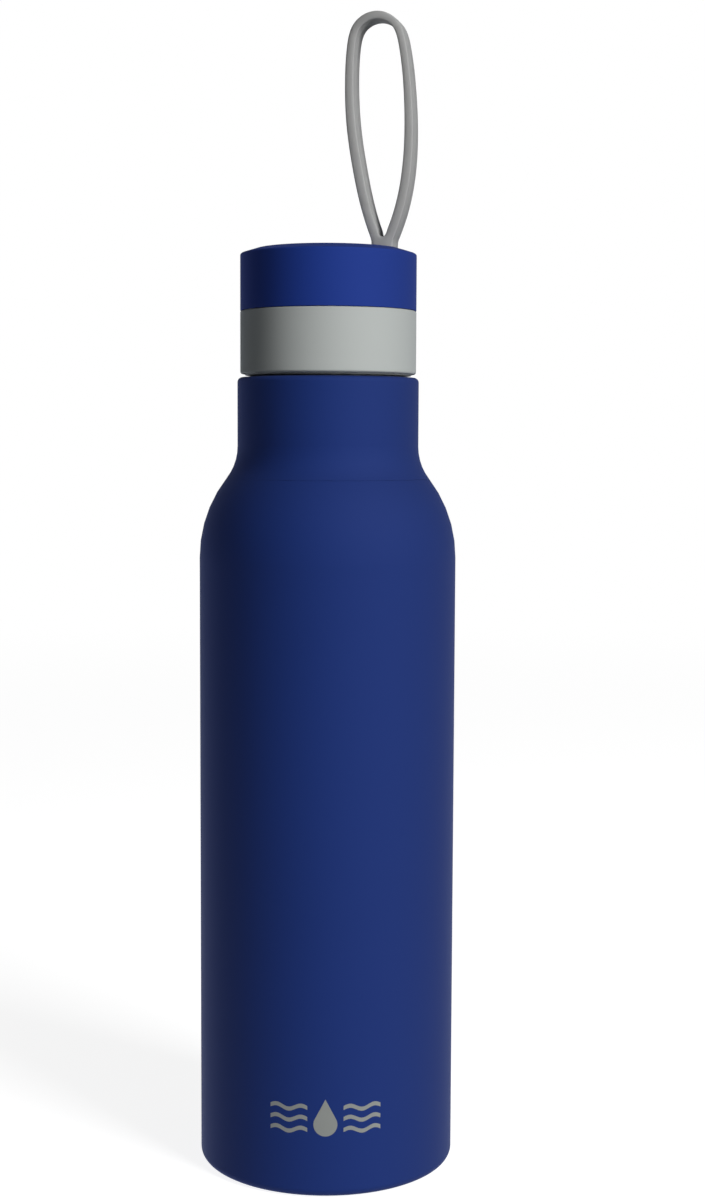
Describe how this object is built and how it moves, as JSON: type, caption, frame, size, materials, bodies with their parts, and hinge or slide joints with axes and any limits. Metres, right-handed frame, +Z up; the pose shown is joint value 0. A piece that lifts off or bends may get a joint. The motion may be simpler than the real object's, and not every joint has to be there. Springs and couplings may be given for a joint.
{
  "type": "insulated bicycle water bottle",
  "caption": "Slim double-walled steel water bottle with a narrow neck, a screw lid and an upright silicone carrying loop, sized for a bicycle bottle cage.",
  "frame": {"origin": "centre of the standing ring, on the surface the bottle stands on", "axes": "+Z up along the bottle's axis, -Y the front, +X to the right seen from the front; the loop stands over the right-hand side of the lid"},
  "size_m": [0.073, 0.073, 0.3259],
  "materials": {
    "shell_paint": "satin",
    "bare_steel": "satin",
    "foil": "polished",
    "solder_glass": "gloss",
    "getter_powder": "matte",
    "cap_plastic": "satin",
    "band_plastic": "matte",
    "plug_plastic": "satin",
    "seal_silicone": "satin",
    "loop_silicone": "matte",
    "foam": "matte",
    "fastener_steel": "satin"
  },
  "bodies": {
    "bottle": {"outer_shell": "shell_paint", "inner_liner": "bare_steel", "liner_base": "bare_steel", "shell_base": "bare_steel", "vacuum_seal": "solder_glass", "base_cover": "bare_steel", "getter_holder": "bare_steel", "getter_pellet": "getter_powder", "radiation_wrap": "foil"},
    "seal": {"seal_ring": "seal_silicone"},
    "lid": {"screw_plug": "plug_plastic", "plug_base": "plug_plastic", "plug_foam": "foam", "trim_band": "band_plastic", "cap_shell": "cap_plastic", "pin_retainer": "plug_plastic", "retainer_screws": "fastener_steel", "strap_pin": "fastener_steel"},
    "strap": {"strap": "loop_silicone"}
  },
  "joints": [
    {"name": "lid_rise", "type": "slide", "parent": "bottle", "child": "seal", "axis": [0, 0, 1], "range_m": [0, 0.015]},
    {"name": "lid_turn", "type": "hinge", "parent": "seal", "child": "lid", "pos_m": [0, 0, 0.2136], "axis": [0, 0, 1], "range_deg": [0, 1080]},
    {"name": "strap_swing", "type": "hinge", "parent": "lid", "child": "strap", "pos_m": [0.01573, -0.00427, 0.2574], "axis": [0.2622, 0.965, 0], "range_deg": [-38, 18]}
  ],
  "couplings": [
    {"joint": "lid_rise", "follows": "lid_turn", "m_per_rad": 0.00079577}
  ]
}
